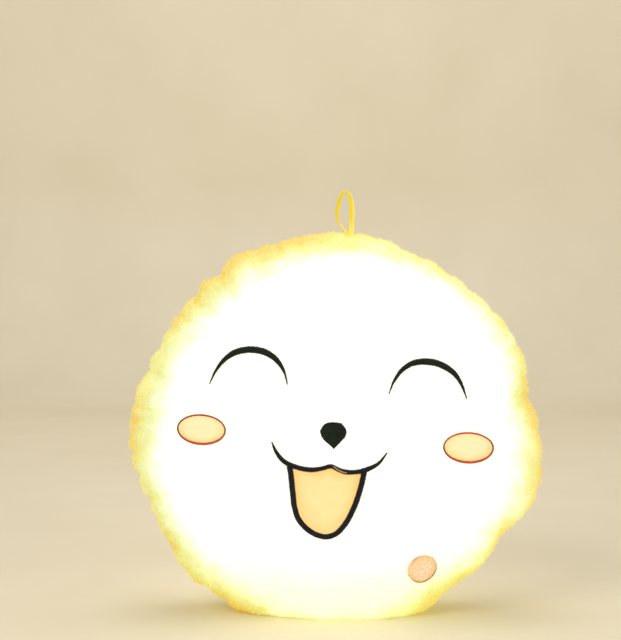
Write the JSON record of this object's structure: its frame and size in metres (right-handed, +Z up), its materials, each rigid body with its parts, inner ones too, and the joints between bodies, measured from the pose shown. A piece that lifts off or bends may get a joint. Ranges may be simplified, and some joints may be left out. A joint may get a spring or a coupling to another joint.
{
  "type": "plush night light",
  "caption": "Round plush cushion night light with a smiling stitched face, a hanging loop, a press switch and a zipped battery pocket.",
  "frame": {"origin": "under the middle of the foot, on the surface it stands on", "axes": "+Z up, the face looks along -Y, +X is the viewer's right, and the sewn rim lies in the plane Y = 0"},
  "size_m": [0.345, 0.1104, 0.3547],
  "materials": {
    "plush": "short warm-white pile, lit from inside",
    "lining": "plain woven",
    "wadding": "loose fibre",
    "yellow_tape": "flat woven tape",
    "dark_thread": "satin stitch",
    "red_thread": "satin stitch",
    "peach_fleece": "short fleece",
    "ochre_thread": "satin stitch",
    "white_plastic": "moulded",
    "frosted_plastic": "frosted, lets light through",
    "circuit_board": "solder mask",
    "light_chip": "phosphor",
    "black_plastic": "moulded",
    "steel": "plain",
    "lead_jacket": "smooth",
    "cell_wrap": "printed film, left blank",
    "zip_polymer": "moulded",
    "zip_tape": "woven"
  },
  "bodies": {
    "cushion": {"battery_1": "cell_wrap", "battery_2": "cell_wrap", "battery_3": "cell_wrap", "battery_case": "white_plastic", "battery_pocket": "lining", "contact_plate_1": "steel", "contact_plate_2": "steel", "contact_plate_3": "steel", "contact_spring_1": "steel", "contact_spring_2": "steel", "contact_spring_3": "steel", "driver_chip": "black_plastic", "driver_coil": "black_plastic", "front_fill": "wadding", "front_panel": "plush", "jaw_line": "dark_thread", "lamp_base": "white_plastic", "lamp_board": "circuit_board", "lamp_diffuser": "frosted_plastic", "lamp_lead": "lead_jacket", "lamp_screw_1": "steel", "lamp_screw_2": "steel", "lamp_screw_3": "steel", "lead_eyelet": "lead_jacket", "left_cheek": "peach_fleece", "left_cheek_edging": "red_thread", "left_eye": "dark_thread", "light_chip_1": "light_chip", "light_chip_2": "light_chip", "light_chip_3": "light_chip", "light_chip_4": "light_chip", "lip_line": "dark_thread", "loop_anchor": "yellow_tape", "mouth_fill": "peach_fleece", "nose": "dark_thread", "rear_fill": "wadding", "rear_panel": "plush", "right_cheek": "peach_fleece", "right_cheek_edging": "red_thread", "right_eye": "dark_thread", "seam_binding": "lining", "switch_board": "circuit_board", "switch_cover": "white_plastic", "switch_housing": "white_plastic", "switch_lead": "lead_jacket", "switch_spring": "steel", "tact_switch": "black_plastic", "zip_stop_closed": "zip_polymer", "zip_stop_open": "zip_polymer", "zip_tape_lower": "zip_tape", "zip_tape_upper": "zip_tape", "zip_teeth_lower": "zip_polymer", "zip_teeth_upper": "zip_polymer"},
    "hanging_loop": {"hanging_loop": "yellow_tape"},
    "button": {"switch_patch": "peach_fleece", "patch_edging": "ochre_thread", "button_cap": "white_plastic"},
    "zip_slider": {"zip_slider": "zip_polymer"},
    "zip_pull": {"zip_pull": "zip_polymer"},
    "battery_cover": {"battery_cover": "white_plastic"}
  },
  "joints": [
    {"name": "loop_swing", "type": "hinge", "parent": "cushion", "child": "hanging_loop", "pos_m": [0.01092, 0, 0.32072], "axis": [1, 0, 0], "range_deg": [-90, 90], "stiffness_Nm_per_rad": 0.0005},
    {"name": "switch_press", "type": "slide", "parent": "cushion", "child": "button", "axis": [-0.2938, 0.9125, 0.2847], "range_m": [0, 0.002], "stiffness_N_per_m": 800, "springref_m": -0.0005, "deforming": ["switch_spring"]},
    {"name": "zip_slide", "type": "slide", "parent": "cushion", "child": "zip_slider", "axis": [1, 0, 0], "range_m": [0, 0.126], "deforming": ["zip_teeth_upper", "zip_teeth_lower"]},
    {"name": "zip_pull_tilt", "type": "hinge", "parent": "zip_slider", "child": "zip_pull", "pos_m": [-0.0655, 0.05199, 0.115], "axis": [0, 0, -1], "range_deg": [0, 150]},
    {"name": "battery_cover_slide", "type": "slide", "parent": "cushion", "child": "battery_cover", "axis": [1, 0, 0], "range_m": [0, 0.06]}
  ]
}
